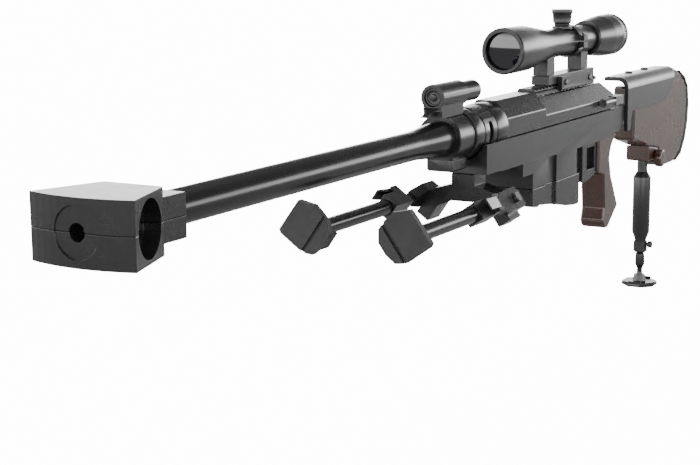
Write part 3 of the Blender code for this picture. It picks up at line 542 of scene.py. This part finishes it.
def scope_group():
    for node, width in (("scope_body", 0.0006), ("eyepiece_housing", 0.0004), ("erector_tube", 0.0004)):
        refined(node, width, 2, 30)
    steps = 10
    low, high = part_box("objective_lens")
    middle_z, radius, bulge = (low.z + high.z) / 2, 0.0219, 0.0020
    front = [(bulge * (i / steps) ** 2, radius * i / steps) for i in range(steps + 1)]
    front += [(high.x - low.x, radius), (high.x - low.x, 0)]
    piece = turned("objective_lens_fine", front, (low.x, 0, middle_z), X_AXIS, 96, 0.0002)
    place(piece, "objective_lens")
    low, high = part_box("eyepiece_lens")
    length, radius, bulge = high.x - low.x, 0.0200, 0.0012
    rear = [(0, 0), (0, radius)]
    rear += [(length - bulge * (i / steps) ** 2, radius * i / steps) for i in range(steps, -1, -1)]
    piece = turned("eyepiece_lens_fine", rear, (low.x, 0, middle_z), X_AXIS, 96, 0.0002)
    place(piece, "eyepiece_lens")


def knob(node, profile, along, knurl=None, edge=0.0005, steps=144):
    """A turned knob on its joint's axis."""
    piece = turned(node + "_fine", profile, PIVOT[node], along, steps, edge, knurl)
    place(piece, node)


def knob_group():
    tall = [(0, 0), (0, 0.0092), (0.0030, 0.0092), (0.0040, 0.0108), (0.0145, 0.0115)]
    tall += [(0.0155, 0.0125), (0.0195, 0.0125), (0.0195, 0)]
    knob("elevation_knob", tall, (0, 0, 1), Knurl(0.0048, 0.0140, 36, 0.00035))
    short = [(0, 0), (0, 0.0085), (0.0040, 0.0085), (0.0055, 0.0112)]
    short += [(0.0125, 0.0118), (0.0140, 0.0105), (0.0140, 0)]
    knob("windage_knob", short, (0, 1, 0), Knurl(0.0060, 0.0122, 36, 0.00035))
    ring = [(0, 0.0205), (0, 0.0257), (0.0170, 0.0260), (0.0186, 0.0250), (0.0186, 0.0205)]
    knob("focus_ring", ring, X_AXIS, Knurl(0.0035, 0.0140, 60, 0.0004), steps=240)
    lock = [(0, 0), (0, 0.0105), (0.0015, 0.0120), (0.0090, 0.0120), (0.0105, 0.0105), (0.0105, 0)]
    knob("monopod_lock_knob", lock, (0, -1, 0), edge=0.0012, steps=96)
    screw = [(0, 0), (0, 0.0020), (0.0060, 0.0020), (0.0060, 0.0046), (0.0110, 0.0046), (0.0110, 0)]
    knob("monopod_thumbscrew", screw, (0, -1, 0), Knurl(0.0066, 0.0104, 24, 0.0003), edge=0.0004, steps=96)


def monopod_group():
    refined("monopod_sleeve", 0.0006, 3, 30)
    low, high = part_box("monopod_rod")
    inner = [(0, 0), (0, 0.0047), (0.0840, 0.0047), (0.0860, 0.0062), (0.1000, 0.0066), (0.1040, 0.0050)]
    inner += [(0.1060, 0.0038), (0.1120, 0.0038), (0.1160, 0.0048), (0.1190, 0.0040), (0.1200, 0)]
    start = ((low.x + high.x) / 2, 0, high.z)
    place(turned("monopod_rod_fine", inner, start, (0, 0, -1), 72, 0.0008), "monopod_rod", "turned_metal")
    refined("monopod_foot", 0.0007, 3, 26)


def bipod_group():
    for side in ("left", "right"):
        refined(f"leg_arm_{side}", 0.0008, 3, 26, "turned_metal")
        refined(f"leg_tube_{side}", 0.0005, 3, 26, "turned_metal")
        refined(f"leg_clamp_{side}", 0.0006, 3, 26)
        refined(f"clamp_lever_{side}", 0.0005, 3, 26)
        refined(f"bipod_foot_{side}", 0.0010, 3, 26)


barrel_group()
body_group()
rail_group()
screws()
scope_group()
knob_group()
monopod_group()
bipod_group()

# ---------------------------------------------------------------- studio

# The strength of the floor's glow to the direct view, which keeps it white under the dark sky
WHITE = 14.0
FLOOR_DROP, FLOOR_HALF = 0.14, 30
# Brightness by the sine of elevation: a bright horizon, a dark band above it, and a soft top
SKY = [(0.0, 1.0), (0.17, 1.0), (0.26, 0.02), (0.72, 0.04), (0.90, 0.25), (1.0, 0.30)]
SKY_STRENGTH = 7.8


def seen_white(nodes, links, glow):
    """The strength of a glow that only the direct view gets, so that it lights nothing."""
    path = nodes.new("ShaderNodeLightPath")
    made = nodes.new("ShaderNodeMath")
    made.operation = "MULTIPLY"
    made.inputs[1].default_value = glow
    links.new(path.outputs["Is Camera Ray"], made.inputs[0])
    return made.outputs["Value"]


def studio():
    low, _ = cad_box
    floor_mesh = bpy.data.meshes.new("floor")
    bm = bmesh.new()
    bmesh.ops.create_grid(bm, x_segments=1, y_segments=1, size=FLOOR_HALF)
    bm.to_mesh(floor_mesh)
    bm.free()
    floor = linked("floor", floor_mesh)
    floor.location.z = low.z - FLOOR_DROP
    made, nodes, links = new_material("floor")
    shader = nodes["Principled BSDF"]
    shader.inputs["Base Color"].default_value = (0.42, 0.42, 0.42, 1)
    shader.inputs["Roughness"].default_value = 0.8
    shader.inputs["Emission Color"].default_value = (1, 1, 1, 1)
    links.new(seen_white(nodes, links, WHITE), shader.inputs["Emission Strength"])
    floor.data.materials.append(made)

    world = bpy.data.worlds.new("studio")
    bpy.context.scene.world = world
    world.use_nodes = True
    nodes, links = world.node_tree.nodes, world.node_tree.links
    split = nodes.new("ShaderNodeSeparateXYZ")
    links.new(nodes.new("ShaderNodeTexCoord").outputs["Generated"], split.inputs["Vector"])
    sky = ramp(nodes, links, split.outputs["Z"], [(p, (v, v, v)) for p, v in SKY])
    background = nodes["Background"]
    links.new(sky, background.inputs["Color"])
    background.inputs["Strength"].default_value = SKY_STRENGTH


def overhead_light():
    """A soft light straight above the object."""
    data = bpy.data.lights.new("overhead", "AREA")
    data.shape = "RECTANGLE"
    data.size, data.size_y = 2.4, 1.6
    data.energy = 20
    light = bpy.data.objects.new("overhead", data)
    bpy.context.scene.collection.objects.link(light)
    light.location = (0.0, 0.0, 2.4)
    light.rotation_euler = Vector((0, 0, -1)).to_track_quat("-Z", "Y").to_euler()


def camera():
    """At the viewing angle worked out for the object: level-headed, from the front left and above."""
    yaw, pitch, roll = math.radians(29.771), math.radians(10.838), math.radians(-0.459)
    forward = Vector((math.cos(yaw) * math.cos(pitch), math.sin(yaw) * math.cos(pitch), -math.sin(pitch)))
    level = Vector((math.sin(yaw), -math.cos(yaw), 0))
    upward = level.cross(forward)
    right = math.cos(roll) * level + math.sin(roll) * upward
    up = -math.sin(roll) * level + math.cos(roll) * upward
    turn = Matrix((right, up, -forward)).transposed().to_4x4()
    data = bpy.data.cameras.new("camera")
    data.lens = 79.10
    data.sensor_width = 36.0
    data.clip_start, data.clip_end = 0.05, 60
    made = bpy.data.objects.new("camera", data)
    bpy.context.scene.collection.objects.link(made)
    made.matrix_world = Matrix.Translation(at(-0.8344, -0.6958, 0.2025)) @ turn
    bpy.context.scene.camera = made


studio()
overhead_light()
camera()
